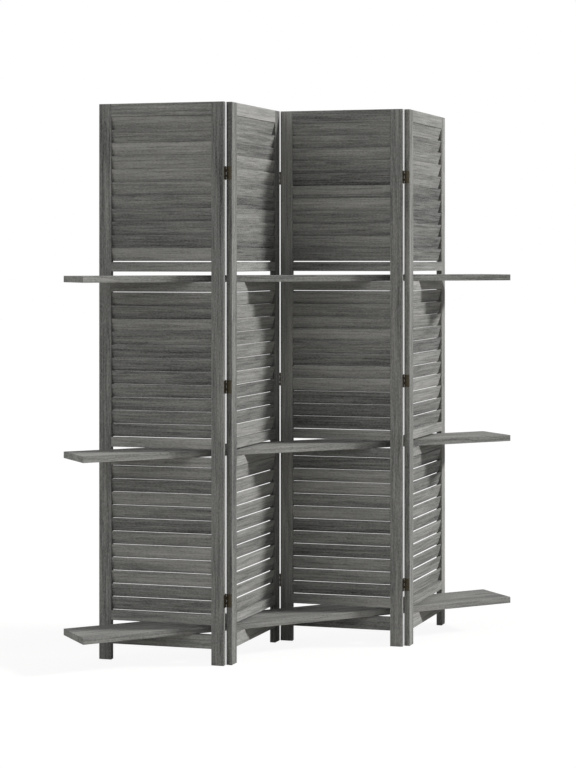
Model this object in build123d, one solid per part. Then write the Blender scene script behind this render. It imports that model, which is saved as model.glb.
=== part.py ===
from build123d import *

import os
from math import cos, radians, sin, sqrt

# A folding screen of four louvred wooden panels, hinged edge to edge in a zig-zag, with three long
# shelf boards that lie in slots through all the panels. Sizes are in millimetres.
# +X runs along the shelves, +Y from the front of the screen to its back and +Z up. The origin is on
# the floor, halfway along the row of panels and halfway through its depth.

# Panel frame
PANEL_COUNT = 4
PANEL_WIDTH = 399.0
THICKNESS = 18.0
STILE_WIDTH = 39.5
LEG_HEIGHT = 49.4
BOTTOM_RAIL = 41.6
SLOT_RAIL = 29.5
TOP_RAIL = 39.0
BAY_HEIGHT = 444.5
EDGE_ROUND = 0.6

# Zig-zag: each panel's angle to the row of shelves as it stands, and how much wider it still opens
REST_FOLD = 42.0
OPENING_LEFT = 4.4

# Shelf boards, and their free play in the slots
LEVELS = ("lower", "middle", "upper")
SHELF_THICKNESS = 19.5
SHELF_OVERHANG = 129.0
SHELF_SETBACK = 8.0
SHELF_ROUND = 0.8
SHELF_SEAT_PLAY = 0.3
SLOT_END_PLAY = 0.8
SLOT_HEADROOM = {"lower": 11.0, "middle": 7.0, "upper": 12.5}

# Louvre slats, which lean with their top edge to the front
SLAT_THICKNESS = 4.5
SLAT_PITCH = 40.1
SLAT_OVERLAP = 0.6
SLAT_TILT = 15.0
SLAT_ROUND = 0.8
SLAT_HOUSING = 6.0
SLAT_FIT = 0.1
GAP_UNDER_SLATS = {"lower": 1.8, "middle": 1.5, "upper": 2.6}

# Dowels between rails and stiles, at these shares of a rail's height
DOWEL_RADIUS = 3.0
DOWEL_LENGTH = 36.0
DOWEL_FIT = 0.05
DOWEL_END_ROOM = 1.0
DOWEL_SHARES = (0.25, 0.75)

# Butt hinges, three to a joint
HINGE_HEIGHT = 40.0
HINGE_FROM_FLOOR = 194.0
HINGE_FROM_TOP = 215.0
LEAF_THICKNESS = 0.5
LEAF_SPACING = 0.2
LEAF_MARGIN = 0.5
KNUCKLE_COUNT = 5
KNUCKLE_PLAY = 0.3
KNUCKLE_WALL = 0.6
BARREL_PLAY = 0.1
PIN_RADIUS = 0.7
PIN_FIT = 0.05
PIN_HEAD_RADIUS = 1.2
PIN_HEAD_HEIGHT = 0.8

# Countersunk hinge screws, two to a leaf
SCREW_RADIUS = 1.3
SCREW_HEAD_RADIUS = 2.7
SCREW_LENGTH = 14.0
SCREW_FIT = 0.05
SCREW_SPREAD = 22.0
RECESS_LENGTH = 3.2
RECESS_WIDTH = 0.7
RECESS_DEPTH = 0.6

# The louvred opening between the stiles, which is also the length of a shelf slot
CLEAR_WIDTH = PANEL_WIDTH - 2 * STILE_WIDTH

# Hinge pin: how far it stands from a panel's end face, and from the face on its own side
PANEL_GAP = 2 * LEAF_THICKNESS + LEAF_SPACING
BARREL_RADIUS = PIN_RADIUS + PIN_FIT + KNUCKLE_WALL
PIN_FROM_END = PANEL_GAP / 2
PIN_FROM_FACE = sqrt((BARREL_RADIUS + BARREL_PLAY) ** 2 - PIN_FROM_END ** 2)
PIN_DEPTH = THICKNESS / 2 + PIN_FROM_FACE

# With the pins on alternate sides, the panels' middles stay in line, evenly spaced
FOLD = radians(REST_FOLD)
PANEL_SPACING = (PANEL_WIDTH + PANEL_GAP) * cos(FOLD) + 2 * PIN_DEPTH * sin(FOLD)
ROW_LENGTH = (PANEL_COUNT - 1) * PANEL_SPACING + PANEL_WIDTH * cos(FOLD) + THICKNESS * sin(FOLD)

# A shelf is as deep as the slots let through when the screen stands at its widest
WIDEST = radians(REST_FOLD - OPENING_LEFT)
SHELF_LENGTH = ROW_LENGTH + 2 * SHELF_OVERHANG
SLOT_REACH = (CLEAR_WIDTH / 2 - SLOT_END_PLAY) * sin(WIDEST) - THICKNESS / 2 * cos(WIDEST)
SHELF_DEPTH = 2 * (SLOT_REACH - SHELF_SETBACK)

# A slat's width makes its upright extent the pitch and a little overlap
SLAT_RISE = SLAT_PITCH + SLAT_OVERLAP
SLAT_LEAN = radians(SLAT_TILT)
SLAT_WIDTH = (SLAT_RISE - SLAT_THICKNESS * sin(SLAT_LEAN)) / cos(SLAT_LEAN)


def stack_up():
    """Work up a panel from the floor: where its rails, slots and bays lie, and how tall it is."""
    rails = {"bottom_rail": [(LEG_HEIGHT, BOTTOM_RAIL)]}
    seats = {}
    bays = {}
    z = LEG_HEIGHT + BOTTOM_RAIL
    for level in LEVELS:
        if level != LEVELS[0]:
            rails[level + "_shelf_rails"] = [(z, SLOT_RAIL)]
            z += SLOT_RAIL
        seats[level] = z
        z += SHELF_THICKNESS + SLOT_HEADROOM[level]
        node = "lower_shelf_rail" if level == LEVELS[0] else level + "_shelf_rails"
        rails.setdefault(node, []).append((z, SLOT_RAIL))
        z += SLOT_RAIL
        bays[level] = z
        z += BAY_HEIGHT
    rails["top_rail"] = [(z, TOP_RAIL)]
    return rails, seats, bays, z + TOP_RAIL


RAILS, SHELF_SEATS, BAYS, HEIGHT = stack_up()


def hinge_heights():
    """Heights of the middles of the three hinges of a joint."""
    top = HEIGHT - HINGE_FROM_TOP
    return [HINGE_FROM_FLOOR, (HINGE_FROM_FLOOR + top) / 2, top]


def rounded_bar(length, depth, height, radius):
    """A bar along X with its long edges eased."""
    bar = Box(length, depth, height)
    return fillet(bar.edges().filter_by(Axis.X), radius)


def slat_heights(level):
    """Heights of the middles of the slats in one bay."""
    first = BAYS[level] + GAP_UNDER_SLATS[level] + SLAT_RISE / 2
    room = BAY_HEIGHT - GAP_UNDER_SLATS[level] - SLAT_OVERLAP
    return [first + SLAT_PITCH * i for i in range(int(room // SLAT_PITCH))]


def slats(level):
    """The slats of one bay, tops leaning to the front, ends housed in both stiles."""
    length = CLEAR_WIDTH + 2 * (SLAT_HOUSING - SLAT_FIT)
    slat = Rot(X=SLAT_TILT) * rounded_bar(length, SLAT_THICKNESS, SLAT_WIDTH, SLAT_ROUND)
    return [Pos(0, 0, z) * slat for z in slat_heights(level)]


def slat_mortises():
    """What the stiles lose to house the ends of every slat."""
    play = 2 * SLAT_FIT
    mortise = Rot(X=SLAT_TILT) * Box(
        CLEAR_WIDTH + 2 * SLAT_HOUSING, SLAT_THICKNESS + play, SLAT_WIDTH + play)
    return [Pos(0, 0, z) * mortise for level in LEVELS for z in slat_heights(level)]


def dowels(radius, length):
    """Two dowels, or their holes, at each end of every rail."""
    dowel = Rot(Y=90) * Cylinder(radius, length)
    return [
        Pos(side * CLEAR_WIDTH / 2, 0, z + height * share) * dowel
        for rails in RAILS.values() for z, height in rails
        for side in (-1, 1) for share in DOWEL_SHARES]


def dowel_holes():
    return dowels(DOWEL_RADIUS + DOWEL_FIT, DOWEL_LENGTH + 2 * DOWEL_END_ROOM)


def rail(z, height):
    """A rail between the stiles, bored for its dowels."""
    bar = Pos(0, 0, z + height / 2) * rounded_bar(CLEAR_WIDTH, THICKNESS, height, EDGE_ROUND)
    return bar - [hole for hole in dowel_holes() if z < hole.center().Z < z + height]


def screw(fit=0.0):
    """A countersunk screw driven along -X with its head's face at the origin, or the hole for it."""
    head_depth = SCREW_HEAD_RADIUS - SCREW_RADIUS
    shank = SCREW_RADIUS + fit
    profile = Polyline(
        (fit, 0), (fit, SCREW_HEAD_RADIUS + 2 * fit), (-head_depth, shank),
        (SCREW_RADIUS - SCREW_LENGTH, shank), (-SCREW_LENGTH - fit, 0), close=True)
    return revolve(make_face(profile), Axis.X)


def leaf_middle():
    """How far a leaf's middle lies from the panel's mid plane, away from the pin."""
    reach = PIN_DEPTH - BARREL_RADIUS - KNUCKLE_PLAY
    return (THICKNESS / 2 - LEAF_MARGIN - reach) / 2


def at_panel_end(end, pin_side, height, shape):
    """Set a shape made for a right-hand end with its pin behind onto any end of a panel."""
    placed = Pos(PANEL_WIDTH / 2, 0, height) * shape
    if end < 0:
        placed = mirror(placed, about=Plane.YZ)
    if pin_side < 0:
        placed = mirror(placed, about=Plane.XZ)
    return placed


def hinged_ends(panel):
    """The ends of a panel that carry hinges, each with the side that its pins stand on."""
    right_pins = 1 if panel % 2 else -1
    ends = []
    if panel > 1:
        ends.append((-1, -right_pins))
    if panel < PANEL_COUNT:
        ends.append((1, right_pins))
    return ends


def screws_at(end, pin_side, fit=0.0):
    """The screws, or their holes, of the three hinges at one end of a panel."""
    shape = screw(fit)
    if not fit:
        bar = Box(RECESS_DEPTH * 2, RECESS_LENGTH, RECESS_WIDTH)
        shape -= [bar, Rot(X=90) * bar]
    return [
        at_panel_end(end, pin_side, z + side * SCREW_SPREAD / 2,
                     Pos(LEAF_THICKNESS, -leaf_middle(), 0) * shape)
        for z in hinge_heights() for side in (-1, 1)]


def stile(panel, side):
    """A stile with its mortises, dowel holes and hinge screw holes; side is -1 left, 1 right."""
    upright = Box(STILE_WIDTH, THICKNESS, HEIGHT)
    upright = fillet(upright.edges(), EDGE_ROUND)
    upright = Pos(side * (PANEL_WIDTH - STILE_WIDTH) / 2, 0, HEIGHT / 2) * upright
    cuts = slat_mortises() + dowel_holes()
    for end, pin_side in hinged_ends(panel):
        if end == side:
            cuts += screws_at(end, pin_side, SCREW_FIT)
    return upright - cuts


def hinge_leaf(knuckles):
    """One leaf on a right-hand end face, its knuckles round a pin behind the panel."""
    back = PIN_DEPTH - BARREL_RADIUS - KNUCKLE_PLAY
    front = -THICKNESS / 2 + LEAF_MARGIN
    pitch = HINGE_HEIGHT / KNUCKLE_COUNT
    height = pitch - KNUCKLE_PLAY
    leaf = Pos(LEAF_THICKNESS / 2, (front + back) / 2, 0) * Box(
        LEAF_THICKNESS, back - front, HINGE_HEIGHT - KNUCKLE_PLAY)
    bore = Pos(PIN_FROM_END, PIN_DEPTH, 0) * Cylinder(PIN_RADIUS + PIN_FIT, HINGE_HEIGHT)
    for number in knuckles:
        z = (number - (KNUCKLE_COUNT - 1) / 2) * pitch
        leaf += Pos(LEAF_THICKNESS / 2, (back + PIN_DEPTH) / 2, z) * Box(
            LEAF_THICKNESS, PIN_DEPTH - back, height)
        leaf += Pos(PIN_FROM_END, PIN_DEPTH, z) * Cylinder(BARREL_RADIUS, height)
    hole = Pos(LEAF_THICKNESS, -leaf_middle(), 0) * screw(SCREW_FIT)
    return leaf - [bore] - [Pos(0, 0, side * SCREW_SPREAD / 2) * hole for side in (-1, 1)]


def hinge_pin():
    """A pin with a head at each end of the barrel."""
    pin = Cylinder(PIN_RADIUS, HINGE_HEIGHT)
    head = Cylinder(PIN_HEAD_RADIUS, PIN_HEAD_HEIGHT)
    lift = (HINGE_HEIGHT + PIN_HEAD_HEIGHT) / 2
    return Pos(PIN_FROM_END, PIN_DEPTH, 0) * (pin + Pos(0, 0, lift) * head + Pos(0, 0, -lift) * head)


def panel_place(panel):
    """Where a panel stands: odd ones come forward to the right, even ones go back."""
    x = (panel - (PANEL_COUNT + 1) / 2) * PANEL_SPACING
    return Location((x, 0, 0), (0, 0, -REST_FOLD if panel % 2 else REST_FOLD))


def panel_pieces(panel):
    """All the pieces of one panel by node name, in the panel's own frame."""
    pieces = {
        "left_stile": [stile(panel, -1)],
        "right_stile": [stile(panel, 1)],
        "dowels": dowels(DOWEL_RADIUS, DOWEL_LENGTH),
        "hinge_screws": [s for end in hinged_ends(panel) for s in screws_at(*end)],
    }
    for name, rails in RAILS.items():
        pieces[name] = [rail(z, height) for z, height in rails]
    for level in LEVELS:
        pieces[level + "_louvres"] = slats(level)
    return pieces


def hinge_pieces(left_panel):
    """The leaves and pins between a panel and the next, each with the panel that it rides on."""
    right_panel = left_panel + 1
    pin_side = 1 if left_panel % 2 else -1
    name = f"hinges_{left_panel}_{right_panel}"
    shapes = {
        f"{name}_left_leaves": (left_panel, 1, hinge_leaf(range(0, KNUCKLE_COUNT, 2))),
        f"{name}_right_leaves": (right_panel, -1, hinge_leaf(range(1, KNUCKLE_COUNT, 2))),
        f"{name}_pins": (left_panel, 1, hinge_pin()),
    }
    return {
        node: (panel, [at_panel_end(end, pin_side, z, shape) for z in hinge_heights()])
        for node, (panel, end, shape) in shapes.items()}


def shelf(level):
    """A shelf board, lying on the rails under its slots."""
    board = fillet(Box(SHELF_LENGTH, SHELF_DEPTH, SHELF_THICKNESS).edges(), SHELF_ROUND)
    z = SHELF_SEATS[level] + SHELF_SEAT_PLAY + SHELF_THICKNESS / 2
    return Pos(0, SHELF_SETBACK, z) * board


def write(node, solids):
    shape = solids[0] if len(solids) == 1 else Compound(children=solids)
    shape.label = node
    export_step(shape, os.path.join("parts", node + ".step"))


os.makedirs("parts", exist_ok=True)
for number in range(1, PANEL_COUNT + 1):
    place = panel_place(number)
    for piece, solids in panel_pieces(number).items():
        write(f"panel_{number}_{piece}", [place * solid for solid in solids])
for number in range(1, PANEL_COUNT):
    for node, (panel, solids) in hinge_pieces(number).items():
        place = panel_place(panel)
        write(node, [place * solid for solid in solids])
for shelf_level in LEVELS:
    write(shelf_level + "_shelf", [shelf(shelf_level)])
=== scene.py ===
"""Looks for a folding screen of four louvred panels with three long shelf boards.

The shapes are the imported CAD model's. This file gives each piece its finish, and sets the stage.
"""

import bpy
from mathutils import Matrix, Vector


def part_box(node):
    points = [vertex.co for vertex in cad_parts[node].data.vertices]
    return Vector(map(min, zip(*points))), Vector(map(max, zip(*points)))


bl_info = {
    "name": "Folding Screen Finishes",
    "version": (1, 0, 0),
    "blender": (4, 5, 0),
    "location": "View3D > Sidebar > Screen",
    "description": "Grey-washed wood, bronzed hinges and a plain studio for a louvred folding screen",
    "category": "Material",
}

from math import radians

import bpy
from mathutils import Vector

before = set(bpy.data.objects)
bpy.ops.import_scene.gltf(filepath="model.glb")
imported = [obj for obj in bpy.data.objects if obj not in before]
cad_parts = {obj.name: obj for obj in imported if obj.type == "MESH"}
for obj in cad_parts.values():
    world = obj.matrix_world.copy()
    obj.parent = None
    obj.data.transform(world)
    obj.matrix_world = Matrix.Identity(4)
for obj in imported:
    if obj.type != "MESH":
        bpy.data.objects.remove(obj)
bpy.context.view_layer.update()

MM = 0.001
WHITE = (1.0, 1.0, 1.0, 1.0)
PANELS = range(1, 5)
LEVELS = ("lower", "middle", "upper")

# The panel's own axes that lie along the grain, across it and through the board
UPRIGHT = ("Z", "X", "Y")
CROSSWISE = ("X", "Z", "Y")
ALONG_ROW = ("X", "Y", "Z")

# A row of boards, by the height of its foot and of each board in metres: this one is a single board
ONE_BOARD = (-1.0, 10.0)
# How many boards each rail node holds, and how much paler than the slats they came out
RAILS = {"bottom_rail": (1, 0.0), "lower_shelf_rail": (1, 0.05), "middle_shelf_rails": (2, 0.05),
         "upper_shelf_rails": (2, 0.05), "top_rail": (1, 0.15)}
STILE_LIFT = 0.03

# Round numbers that keep the chances of each kind of board apart; the slats' are under RAIL_SEED
RAIL_SEED = 6000
STILE_SEED = 8000
SHELF_SEED = 7
# Millimetres of timber, along, across and through the grain, that the boards are cut from
TIMBER = (3000.0, 400.0, 60.0)

# How much each part of the grain moves the tone, and the value at which it leaves the tone alone
GRAIN_PARTS = {"board": (0.38, 0.5), "clouds": (0.5, 0.5), "streaks": (0.75, 0.5), "fibres": (0.6, 0.5),
               "flecks": (0.6, 0.5), "rings": (-0.13, 0.25), "hairlines": (-0.16, 0.2)}
# Growth rings in a flame, and how sharply each ring ends
RINGS_IN_FLAME = 9.0
RING_EDGE = 3.0
# The level of the streaks that hairlines follow, and how far to each side they reach
HAIRLINE_LEVEL = 0.42
HAIRLINE_REACH = 0.02
# How far the matt wash is rougher in dark streaks and smoother in pale ones
DARK_STREAK_ROUGHER = 0.08
PALE_STREAK_SMOOTHER = 0.06
# How much of the relief the streaks make beside the fibres, and how strongly it all shows
STREAK_RELIEF = 0.6
RELIEF_STRENGTH = 0.6


def linear(hex_code):
    """The linear colour, with alpha, of an sRGB hex value."""
    channels = [int(hex_code[i:i + 2], 16) / 255 for i in (1, 3, 5)]
    return [c / 12.92 if c <= 0.04045 else ((c + 0.055) / 1.055) ** 2.4 for c in channels] + [1.0]


def colour_prop(name, hex_code, description):
    """A colour setting whose default is an sRGB hex value."""
    return bpy.props.FloatVectorProperty(
        name=name, description=description, subtype="COLOR", size=4, min=0.0, max=1.0,
        default=linear(hex_code))


def length_prop(name, metres, description):
    """A length setting in metres."""
    return bpy.props.FloatProperty(
        name=name, description=description, default=metres, min=0.0, unit="LENGTH")


def angle_prop(name, degrees, description):
    """An angle setting."""
    return bpy.props.FloatProperty(
        name=name, description=description, default=radians(degrees), subtype="ANGLE")


def share_prop(name, value, description):
    """A setting without a unit."""
    return bpy.props.FloatProperty(name=name, description=description, default=value, min=0.0)


class WoodSettings(bpy.types.PropertyGroup):
    """Grey-washed pine: what the stain and the grain do."""

    dark: colour_prop("Dark grain", "#454544", "Latewood and streaks, where the wash lies thin")
    middle: colour_prop("Wash", "#8d8d8a", "The wash over plain wood")
    pale: colour_prop("Pale wash", "#bdbcb8", "Early wood that holds the most pigment")
    slat_pitch: length_prop("Slat pitch", 0.0401, "Height from one louvre slat to the next")
    ring_width: length_prop("Ring width", 0.060, "Width of a flame of growth rings on a board's face")
    ring_length: length_prop("Ring length", 0.900, "Length of a flame of growth rings")
    streak_width: length_prop("Streak width", 0.006, "Width of the darker streaks along the grain")
    streak_length: length_prop("Streak length", 0.220, "Length of the darker streaks")
    fibre_width: length_prop("Fibre width", 0.0016, "Width of the fibres, drawn coarse enough to show")
    fibre_length: length_prop("Fibre length", 0.060, "Length of the fibres")
    fleck_width: length_prop("Fleck width", 0.003, "Width of the flecks that pores leave in the wash")
    fleck_length: length_prop("Fleck length", 0.007, "Length of the flecks")
    cloud_width: length_prop("Cloud width", 0.045, "Width of the soft light and dark areas")
    cloud_length: length_prop("Cloud length", 0.600, "Length of the soft light and dark areas")
    roughness: share_prop("Roughness", 0.8, "Roughness of the matt wash")
    gloss: share_prop("Gloss", 0.15, "How much of a smooth surface's reflection the open pores leave")
    relief: length_prop("Grain relief", 0.0003, "Depth of the brushed grain")


class HingeSettings(bpy.types.PropertyGroup):
    """Bronzed steel hinges and their screws."""

    bronze: colour_prop("Bronze", "#39342b", "Bronze plating on the hinge leaves and pins")
    worn: colour_prop("Worn bronze", "#504939", "Bronze where the plating is rubbed")
    metallic: share_prop("Metallic", 0.85, "How far the plating reflects as bare metal does")
    roughness: share_prop("Roughness", 0.42, "Roughness of the plating")
    unevenness: share_prop("Unevenness", 0.1, "How far the roughness strays to each side")
    mottle: length_prop("Mottle", 0.004, "Size of the clouds in the plating")


class DowelSettings(bpy.types.PropertyGroup):
    """Bare beech dowels inside the joints."""

    dark: colour_prop("Flecks", "#b48f66", "The short darker flecks")
    pale: colour_prop("Beech", "#d0b086", "The plain wood between the flecks")
    fleck: length_prop("Fleck size", 0.0015, "Size of the flecks")
    roughness: share_prop("Roughness", 0.6, "Roughness of the turned wood")


class StageSettings(bpy.types.PropertyGroup):
    """Floor, light and camera."""

    floor_colour: colour_prop("Floor", "#a9a8a5", "Matt floor, as it lights the object")
    floor_size: length_prop("Floor size", 60.0, "Side of the floor")
    floor_roughness: share_prop("Floor roughness", 0.9, "Roughness of the floor")
    floor_white: share_prop("Floor white", 1.3, "Brightness of the white that the floor shows when seen")
    floor_cover: share_prop("Floor cover", 0.7, "Share of that white, beside the lit floor and its shadow")
    fill: share_prop("Fill", 0.16, "Strength of the light from all around")
    key: share_prop("Key", 2.85, "Strength of the key light")
    key_azimuth: angle_prop("Key azimuth", 65.0, "Angle of the key light to the right of the front")
    key_elevation: angle_prop("Key elevation", 31.0, "Angle of the key light above the floor")
    key_softness: angle_prop("Key softness", 8.0, "Angle that the key light spans")
    side: share_prop("Side light", 0.85, "Strength of the soft light from the left")
    side_azimuth: angle_prop("Side azimuth", 75.0, "Angle of the side light to the left of the front")
    side_elevation: angle_prop("Side elevation", 25.0, "Angle of the side light above the floor")
    side_softness: angle_prop("Side softness", 60.0, "Angle that the side light spans")
    camera_place: bpy.props.FloatVectorProperty(
        name="Camera", description="Place of the camera", subtype="XYZ", unit="LENGTH",
        default=(-2.7308, -5.2839, 1.22295))
    camera_yaw: angle_prop("Camera yaw", 27.02, "Turn of the level camera to the right of the back")
    lens: bpy.props.FloatProperty(
        name="Lens", description="Focal length in millimetres on a 36 mm frame", default=88.4)
    lens_drop: bpy.props.FloatProperty(
        name="Lens drop", description="Downward shift of the lens, as a share of the frame",
        default=0.1617)


def add(tree, kind, inputs=(), stops=(), **settings):
    """Add a shader node with its settings.

    Inputs are values, sockets or nodes, in order, or by name or number. Stops are a ramp's places
    and colours.
    """
    node = tree.nodes.new(kind)
    for name, value in settings.items():
        setattr(node, name, value)
    for key, value in inputs.items() if isinstance(inputs, dict) else enumerate(inputs):
        if isinstance(value, bpy.types.Node):
            value = value.outputs[0]
        if isinstance(value, bpy.types.NodeSocket):
            tree.links.new(value, node.inputs[key])
        else:
            node.inputs[key].default_value = value
    for number, (place, colour) in enumerate(stops):
        elements = node.color_ramp.elements
        element = elements[number] if number < len(elements) else elements.new(place)
        element.position = place
        element.color = colour
    return node


def new_material(name):
    """A node material with nothing in it yet."""
    material = bpy.data.materials.new(name)
    material.use_nodes = True
    material.node_tree.nodes.clear()
    return material, material.node_tree


def surface(tree, inputs):
    """Make a principled shader the material's surface."""
    shader = add(tree, "ShaderNodeBsdfPrincipled", inputs)
    add(tree, "ShaderNodeOutputMaterial", {"Surface": shader})


def panel_place(panel):
    """Centre line and turn about Z of a panel as it stands, from its stiles."""
    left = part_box(f"panel_{panel}_left_stile")
    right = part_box(f"panel_{panel}_right_stile")
    centre = (left[0] + left[1] + right[0] + right[1]) / 4
    across = (right[0] + right[1] - left[0] - left[1]) / 2
    turn = -Vector((1.0, 0.0)).angle_signed(across.to_2d())
    return Vector((centre.x, centre.y, 0.0)), turn


def grain_coordinates(tree, centre, turn, order, row, seed):
    """Millimetres along the grain, across and through a board, and a chance from 0 to 1 for each board."""
    foot, pitch = row
    spot = add(tree, "ShaderNodeTexCoord").outputs["Object"]
    own = add(tree, "ShaderNodeMapping",
              {"Vector": spot, "Location": centre, "Rotation": (0, 0, turn), "Scale": (MM, MM, MM)},
              vector_type="TEXTURE")
    axes = add(tree, "ShaderNodeSeparateXYZ", (own,)).outputs
    grain = add(tree, "ShaderNodeCombineXYZ", [axes[axis] for axis in order])
    height = add(tree, "ShaderNodeMath", (axes["Z"], foot / MM), operation="SUBTRACT")
    boards = add(tree, "ShaderNodeMath", (height, pitch / MM), operation="DIVIDE")
    board = add(tree, "ShaderNodeMath", (boards,), operation="FLOOR")
    number = add(tree, "ShaderNodeMath", (board, seed), operation="ADD")
    chance = add(tree, "ShaderNodeTexWhiteNoise", {"W": number}, noise_dimensions="1D").outputs
    cut = add(tree, "ShaderNodeVectorMath", (chance["Color"], TIMBER, grain), operation="MULTIPLY_ADD")
    return cut, chance["Value"]


def grain_noise(tree, grain, length, width, detail, roughness=0.5):
    """Noise drawn out along the grain; length and width are the size of its features in metres."""
    stretch = (MM / length, MM / width, MM / width)
    stretched = add(tree, "ShaderNodeVectorMath", (grain, stretch), operation="MULTIPLY")
    return add(tree, "ShaderNodeTexNoise",
               {"Vector": stretched, "Scale": 1.0, "Detail": detail, "Roughness": roughness})


def ring_lines(tree, grain, length, width):
    """Growth rings across a flame, each of which darkens slowly and ends sharply."""
    flames = grain_noise(tree, grain, length, width, detail=2.0, roughness=0.4)
    rings = add(tree, "ShaderNodeMath", (flames, RINGS_IN_FLAME), operation="MULTIPLY")
    ring = add(tree, "ShaderNodeMath", (rings,), operation="FRACT")
    return add(tree, "ShaderNodeMath", (ring, RING_EDGE), operation="POWER")


def hairlines(tree, streaks):
    """Fine dark lines that follow one level of the streaks."""
    above = add(tree, "ShaderNodeMath", (streaks, HAIRLINE_LEVEL), operation="SUBTRACT")
    away = add(tree, "ShaderNodeMath", (above,), operation="ABSOLUTE")
    return add(tree, "ShaderNodeMapRange",
               {"Value": away, "From Min": 0.0, "From Max": HAIRLINE_REACH, "To Min": 1.0, "To Max": 0.0})


def washed_pine(name, centre, turn, order, seed, row=ONE_BOARD, lift=0.0):
    """Solid pine under a thin grey wash, brushed and left matt: streaks, ring lines, flecks, no gloss."""
    wood = bpy.context.scene.screen_wood
    material, tree = new_material(name)
    grain, chance = grain_coordinates(tree, centre, turn, order, row, seed)
    streaks = grain_noise(tree, grain, wood.streak_length, wood.streak_width, detail=3.0, roughness=0.6)
    fibres = grain_noise(tree, grain, wood.fibre_length, wood.fibre_width, detail=2.0)
    parts = {
        "board": chance,
        "clouds": grain_noise(tree, grain, wood.cloud_length, wood.cloud_width, detail=1.0),
        "streaks": streaks,
        "fibres": fibres,
        "flecks": grain_noise(tree, grain, wood.fleck_length, wood.fleck_width, detail=1.0),
        "rings": ring_lines(tree, grain, wood.ring_length, wood.ring_width),
        "hairlines": hairlines(tree, streaks)}
    tone = 0.5 + lift - sum(weight * level for weight, level in GRAIN_PARTS.values())
    for part, (weight, _) in GRAIN_PARTS.items():
        tone = add(tree, "ShaderNodeMath", (parts[part], weight, tone), operation="MULTIPLY_ADD")
    colour = add(tree, "ShaderNodeValToRGB", (tone,),
                 stops=((0.0, wood.dark), (0.5, wood.middle), (1.0, wood.pale)))
    matt = add(tree, "ShaderNodeMapRange",
               {"Value": streaks, "From Min": 0.3, "From Max": 0.7,
                "To Min": wood.roughness + DARK_STREAK_ROUGHER,
                "To Max": wood.roughness - PALE_STREAK_SMOOTHER})
    relief = add(tree, "ShaderNodeMath", (streaks, STREAK_RELIEF, fibres), operation="MULTIPLY_ADD")
    brushed = add(tree, "ShaderNodeBump",
                  {"Height": relief, "Strength": RELIEF_STRENGTH, "Distance": wood.relief})
    surface(tree, {"Base Color": colour, "Roughness": matt, "Specular IOR Level": wood.gloss,
                   "Normal": brushed})
    return material


def bronzed_steel(name):
    """Pressed steel with a dark bronze plating: satin, slightly clouded, paler where it is rubbed."""
    hinge = bpy.context.scene.screen_hinges
    material, tree = new_material(name)
    spot = add(tree, "ShaderNodeTexCoord").outputs["Object"]
    clouds = add(tree, "ShaderNodeTexNoise",
                 {"Vector": spot, "Scale": 1.0 / hinge.mottle, "Detail": 4.0, "Roughness": 0.6})
    colour = add(tree, "ShaderNodeValToRGB", (clouds,), stops=((0.35, hinge.bronze), (0.8, hinge.worn)))
    satin = add(tree, "ShaderNodeMapRange",
                {"Value": clouds, "To Min": hinge.roughness - hinge.unevenness,
                 "To Max": hinge.roughness + hinge.unevenness})
    surface(tree, {"Base Color": colour, "Roughness": satin, "Metallic": hinge.metallic})
    return material


def turned_beech(name):
    """Bare beech dowel rod: pale, close-grained, with short darker flecks."""
    dowel = bpy.context.scene.screen_dowels
    material, tree = new_material(name)
    spot = add(tree, "ShaderNodeTexCoord").outputs["Object"]
    flecks = add(tree, "ShaderNodeTexNoise", {"Vector": spot, "Scale": 1.0 / dowel.fleck, "Detail": 3.0})
    colour = add(tree, "ShaderNodeValToRGB", (flecks,), stops=((0.3, dowel.dark), (0.6, dowel.pale)))
    surface(tree, {"Base Color": colour, "Roughness": dowel.roughness})
    return material


def finish(node, material):
    """Give a CAD node its material."""
    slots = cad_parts[node].data.materials
    slots.clear()
    slots.append(material)


class SCREEN_OT_finish_stiles(bpy.types.Operator):
    """Grey-washed pine on the eight stiles, grain upright"""

    bl_idname = "folding_screen.finish_stiles"
    bl_label = "Finish Stiles"

    def execute(self, context):
        for panel in PANELS:
            centre, turn = panel_place(panel)
            for number, side in enumerate(("left", "right")):
                name = f"panel_{panel}_{side}_stile"
                seed = STILE_SEED + 10 * panel + number
                finish(name, washed_pine(f"washed_pine_{name}", centre, turn, UPRIGHT, seed, lift=STILE_LIFT))
        return {"FINISHED"}


class SCREEN_OT_finish_rails(bpy.types.Operator):
    """Grey-washed pine on the rails, grain crosswise, each rail a board of its own"""

    bl_idname = "folding_screen.finish_rails"
    bl_label = "Finish Rails"

    def execute(self, context):
        for panel in PANELS:
            centre, turn = panel_place(panel)
            for number, (rail, (count, lift)) in enumerate(RAILS.items()):
                name = f"panel_{panel}_{rail}"
                seed = RAIL_SEED + 100 * panel + 10 * number
                low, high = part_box(name)
                row = (low.z - MM, (high.z - low.z + 2 * MM) / count)
                finish(name, washed_pine(f"washed_pine_{name}", centre, turn, CROSSWISE, seed, row, lift))
        return {"FINISHED"}


class SCREEN_OT_finish_louvres(bpy.types.Operator):
    """Grey-washed pine on the louvre slats, grain crosswise, each slat a board of its own"""

    bl_idname = "folding_screen.finish_louvres"
    bl_label = "Finish Louvres"

    def execute(self, context):
        pitch = context.scene.screen_wood.slat_pitch
        for panel in PANELS:
            centre, turn = panel_place(panel)
            for number, level in enumerate(LEVELS):
                name = f"panel_{panel}_{level}_louvres"
                seed = 1000 * panel + 100 * number
                row = (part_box(name)[0].z, pitch)
                finish(name, washed_pine(f"washed_pine_{name}", centre, turn, CROSSWISE, seed, row))
        return {"FINISHED"}


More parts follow.
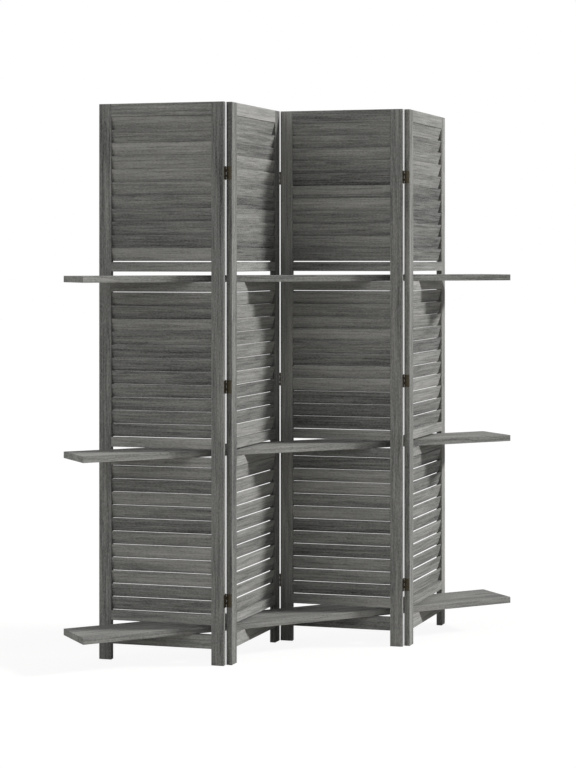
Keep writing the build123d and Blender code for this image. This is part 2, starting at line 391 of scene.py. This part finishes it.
class SCREEN_OT_finish_shelves(bpy.types.Operator):
    """Grey-washed pine on the three shelf boards, grain along the row"""

    bl_idname = "folding_screen.finish_shelves"
    bl_label = "Finish Shelves"

    def execute(self, context):
        for number, level in enumerate(LEVELS):
            name = f"{level}_shelf"
            seed = SHELF_SEED + number
            finish(name, washed_pine(f"washed_pine_{name}", Vector(), 0.0, ALONG_ROW, seed))
        return {"FINISHED"}


class SCREEN_OT_finish_hinges(bpy.types.Operator):
    """Bronzed steel on the hinge leaves, pins and screws"""

    bl_idname = "folding_screen.finish_hinges"
    bl_label = "Finish Hinges"

    def execute(self, context):
        leaves = bronzed_steel("bronzed_steel_hinges")
        screws = bronzed_steel("bronzed_steel_screws")
        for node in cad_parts:
            if node.startswith("hinges_"):
                finish(node, leaves)
            elif node.endswith("_screws"):
                finish(node, screws)
        return {"FINISHED"}


class SCREEN_OT_finish_dowels(bpy.types.Operator):
    """Bare beech on the dowels inside the joints"""

    bl_idname = "folding_screen.finish_dowels"
    bl_label = "Finish Dowels"

    def execute(self, context):
        beech = turned_beech("turned_beech")
        for panel in PANELS:
            finish(f"panel_{panel}_dowels", beech)
        return {"FINISHED"}


class SCREEN_OT_set_stage(bpy.types.Operator):
    """Plain floor, soft studio light, white background and the camera"""

    bl_idname = "folding_screen.set_stage"
    bl_label = "Set Stage"

    def execute(self, context):
        stage = context.scene.screen_stage
        self.lay_floor(context, stage)
        self.light_room(context, stage)
        self.place_camera(context, stage)
        context.scene.view_settings.view_transform = "Standard"
        return {"FINISHED"}

    def seen_directly(self, tree):
        """One for rays straight from the camera, or by way of metal or glass."""
        path = add(tree, "ShaderNodeLightPath").outputs
        glossy = add(tree, "ShaderNodeMath", (path["Is Camera Ray"], path["Is Glossy Ray"]),
                     operation="MAXIMUM")
        return add(tree, "ShaderNodeMath", (glossy, path["Is Transmission Ray"]), operation="MAXIMUM")

    def lay_floor(self, context, stage):
        """A matt floor that lights the object as a pale one does and looks white with a soft shadow."""
        half = stage.floor_size / 2
        mesh = bpy.data.meshes.new("floor")
        mesh.from_pydata([(-half, -half, 0), (half, -half, 0), (half, half, 0), (-half, half, 0)],
                         [], [(0, 1, 2, 3)])
        floor = bpy.data.objects.new("floor", mesh)
        context.scene.collection.objects.link(floor)
        material, tree = new_material("matt_floor")
        matt = add(tree, "ShaderNodeBsdfPrincipled",
                   {"Base Color": stage.floor_colour, "Roughness": stage.floor_roughness})
        white = add(tree, "ShaderNodeEmission", {"Color": WHITE, "Strength": stage.floor_white})
        cover = add(tree, "ShaderNodeMath", (self.seen_directly(tree), stage.floor_cover),
                    operation="MULTIPLY")
        mixed = add(tree, "ShaderNodeMixShader", (cover, matt, white))
        add(tree, "ShaderNodeOutputMaterial", {"Surface": mixed})
        mesh.materials.append(material)

    def light_room(self, context, stage):
        """An even fill that looks white when seen, the key from the right and a soft light from the left."""
        world = bpy.data.worlds.new("studio")
        world.use_nodes = True
        tree = world.node_tree
        tree.nodes.clear()
        fill = add(tree, "ShaderNodeBackground", {"Color": WHITE, "Strength": stage.fill})
        white = add(tree, "ShaderNodeBackground", {"Color": WHITE, "Strength": 1.0})
        mixed = add(tree, "ShaderNodeMixShader", (self.seen_directly(tree), fill, white))
        add(tree, "ShaderNodeOutputWorld", {"Surface": mixed})
        context.scene.world = world
        self.hang_lamp(context, "key", stage.key,
                       stage.key_azimuth, stage.key_elevation, stage.key_softness)
        self.hang_lamp(context, "side", stage.side,
                       -stage.side_azimuth, stage.side_elevation, stage.side_softness)

    def hang_lamp(self, context, name, strength, azimuth, elevation, softness):
        """A far, soft lamp, at an angle to the right of the front and above the floor."""
        lamp = bpy.data.lights.new(name, "SUN")
        lamp.energy = strength
        lamp.angle = softness
        holder = bpy.data.objects.new(name, lamp)
        holder.rotation_euler = (radians(90) - elevation, 0, azimuth)
        context.scene.collection.objects.link(holder)

    def place_camera(self, context, stage):
        """A level camera at the photograph's viewing angle."""
        data = bpy.data.cameras.new("camera")
        data.lens = stage.lens
        data.shift_y = -stage.lens_drop
        camera = bpy.data.objects.new("camera", data)
        camera.location = stage.camera_place
        camera.rotation_euler = (radians(90), 0, -stage.camera_yaw)
        context.scene.collection.objects.link(camera)
        context.scene.camera = camera


SETTINGS = {"screen_wood": WoodSettings, "screen_hinges": HingeSettings, "screen_dowels": DowelSettings,
            "screen_stage": StageSettings}
OPERATORS = (
    SCREEN_OT_finish_stiles, SCREEN_OT_finish_rails, SCREEN_OT_finish_louvres,
    SCREEN_OT_finish_shelves, SCREEN_OT_finish_hinges, SCREEN_OT_finish_dowels, SCREEN_OT_set_stage)


class SCREEN_PT_finishes(bpy.types.Panel):
    """Finishes of the folding screen"""

    bl_idname = "SCREEN_PT_finishes"
    bl_label = "Folding Screen"
    bl_space_type = "VIEW_3D"
    bl_region_type = "UI"
    bl_category = "Screen"

    def draw(self, context):
        for operator in OPERATORS:
            self.layout.operator(operator.bl_idname)
        for settings in SETTINGS:
            box = self.layout.box()
            group = getattr(context.scene, settings)
            for name in group.__annotations__:
                box.prop(group, name)


CLASSES = (*SETTINGS.values(), *OPERATORS, SCREEN_PT_finishes)


def register():
    for cls in CLASSES:
        bpy.utils.register_class(cls)
    for name, group in SETTINGS.items():
        setattr(bpy.types.Scene, name, bpy.props.PointerProperty(type=group))


def unregister():
    for name in SETTINGS:
        delattr(bpy.types.Scene, name)
    for cls in reversed(CLASSES):
        bpy.utils.unregister_class(cls)


def main():
    """Register the add-on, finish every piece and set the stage."""
    register()
    bpy.ops.folding_screen.finish_stiles()
    bpy.ops.folding_screen.finish_rails()
    bpy.ops.folding_screen.finish_louvres()
    bpy.ops.folding_screen.finish_shelves()
    bpy.ops.folding_screen.finish_hinges()
    bpy.ops.folding_screen.finish_dowels()
    bpy.ops.folding_screen.set_stage()


if __name__ == "__main__":
    main()
